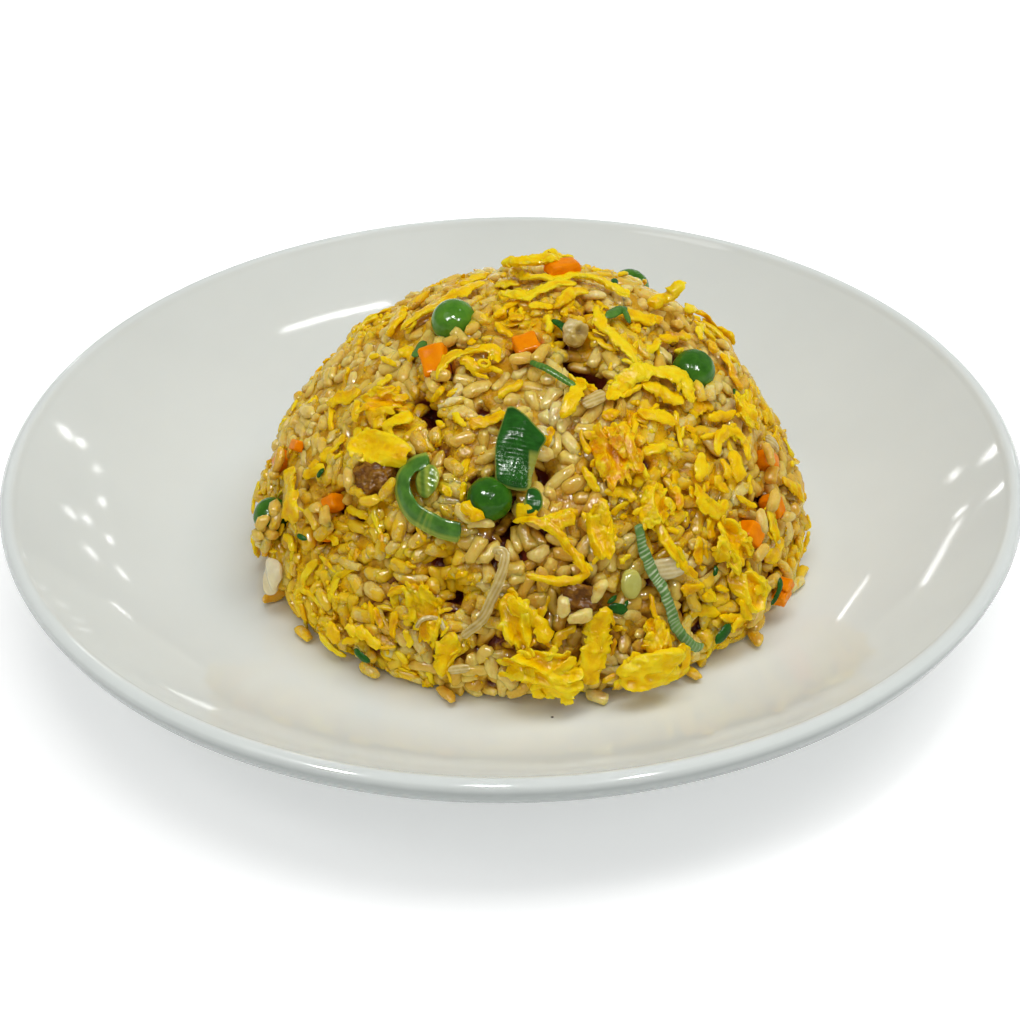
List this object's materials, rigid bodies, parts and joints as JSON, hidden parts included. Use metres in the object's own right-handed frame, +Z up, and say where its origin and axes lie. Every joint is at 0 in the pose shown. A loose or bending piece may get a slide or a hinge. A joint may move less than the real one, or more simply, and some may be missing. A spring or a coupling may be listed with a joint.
{
  "type": "fried rice plate",
  "caption": "Domed heap of egg fried rice with peas, carrot dice, scallion, leek, pork and scrambled egg on a round white coupe plate with a rounded lip.",
  "frame": {"origin": "on the table, under the middle of the plate", "axes": "+Z up; the food faces the viewer along -Y, +X to the viewer's right"},
  "size_m": [0.24, 0.24, 0.0792],
  "materials": {
    "plate_glaze": "white glaze, glossy",
    "rice": "moist cooked grains coated with oil and egg",
    "egg": "soft, slightly oily, folded and ragged",
    "pea": "taut wet skin",
    "carrot": "wet cut faces",
    "scallion": "waxy leaf with fine ribs",
    "leek": "translucent cooked white of leek and onion",
    "pork": "browned fibrous meat"
  },
  "bodies": {
    "root": {"plate": "plate_glaze", "rice_mound": "rice", "pea_1": "pea", "pea_2": "pea", "pea_3": "pea", "pea_4": "pea", "pea_5": "pea", "carrot_1": "carrot", "carrot_2": "carrot", "carrot_3": "carrot", "carrot_4": "carrot", "carrot_5": "carrot", "carrot_6": "carrot", "carrot_7": "carrot", "carrot_8": "carrot", "carrot_9": "carrot", "carrot_10": "carrot", "leaf_1": "scallion", "leaf_2": "scallion", "scallion_curl": "scallion", "scallion_strip": "scallion", "scallion_thread": "scallion", "leek_1": "leek", "leek_2": "leek", "leek_3": "leek", "leek_4": "leek", "onion_curl": "leek", "pork_1": "pork", "pork_2": "pork", "egg_01": "egg", "egg_02": "egg", "egg_03": "egg", "egg_04": "egg", "egg_05": "egg", "egg_06": "egg", "egg_07": "egg", "egg_08": "egg", "egg_09": "egg", "egg_10": "egg", "egg_11": "egg", "egg_12": "egg", "egg_13": "egg", "egg_14": "egg", "egg_15": "egg", "egg_16": "egg", "egg_17": "egg", "egg_18": "egg", "egg_19": "egg", "egg_20": "egg", "egg_21": "egg", "egg_22": "egg", "egg_23": "egg", "egg_24": "egg", "egg_25": "egg", "egg_26": "egg", "egg_27": "egg", "egg_28": "egg", "egg_29": "egg", "egg_30": "egg", "egg_31": "egg"}
  },
  "joints": []
}
